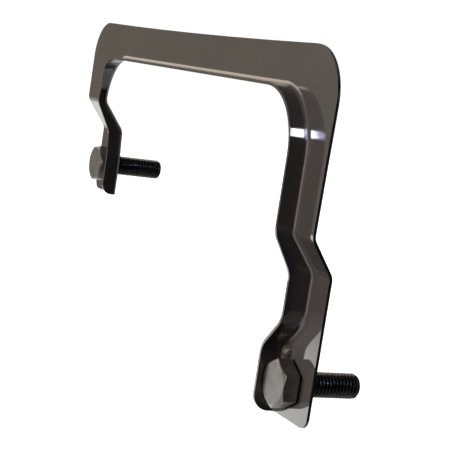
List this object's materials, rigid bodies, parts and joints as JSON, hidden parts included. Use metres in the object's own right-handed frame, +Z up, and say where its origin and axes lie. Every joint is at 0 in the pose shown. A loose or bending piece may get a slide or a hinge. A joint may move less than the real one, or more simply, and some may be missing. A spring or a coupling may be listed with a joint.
{
  "type": "ladder stabilizer bracket",
  "caption": "U-shaped sheet-steel bracket with one long and one short leg, a stiffening flange along its inner edge, joggled feet and a hex-head bolt through each foot.",
  "frame": {"origin": "the long leg's bolt axis where it crosses the back (seating) face of the foot", "axes": "+X along the bar towards the long leg, +Y the way the bolts point, square to the seating faces, +Z up from the feet to the bar"},
  "size_m": [0.258, 0.0471, 0.1419],
  "materials": {
    "bracket_finish": null,
    "bolt_steel": "dull zinc-grey head, dark oiled threads",
    "washer_black": "black moulded retaining washer"
  },
  "bodies": {
    "bracket": {"stabilizer_bracket": "bracket_finish"},
    "long_washer": {"long_leg_washer": "washer_black"},
    "long_bolt": {"long_leg_bolt": "bolt_steel"},
    "short_washer": {"short_leg_washer": "washer_black"},
    "short_bolt": {"short_leg_bolt": "bolt_steel"}
  },
  "joints": [
    {"name": "long_bolt_slide", "type": "slide", "parent": "bracket", "child": "long_washer", "axis": [0, -1, 0], "range_m": [0, 0.025]},
    {"name": "long_bolt_turn", "type": "hinge", "parent": "long_washer", "child": "long_bolt", "pos_m": [0, 0, 0], "axis": [0, 1, 0], "range_deg": [-10, 10]},
    {"name": "short_bolt_slide", "type": "slide", "parent": "bracket", "child": "short_washer", "axis": [0, -1, 0], "range_m": [0, 0.025]},
    {"name": "short_bolt_turn", "type": "hinge", "parent": "short_washer", "child": "short_bolt", "pos_m": [-0.225, 0, 0.0554], "axis": [0, 1, 0], "continuous": true}
  ]
}
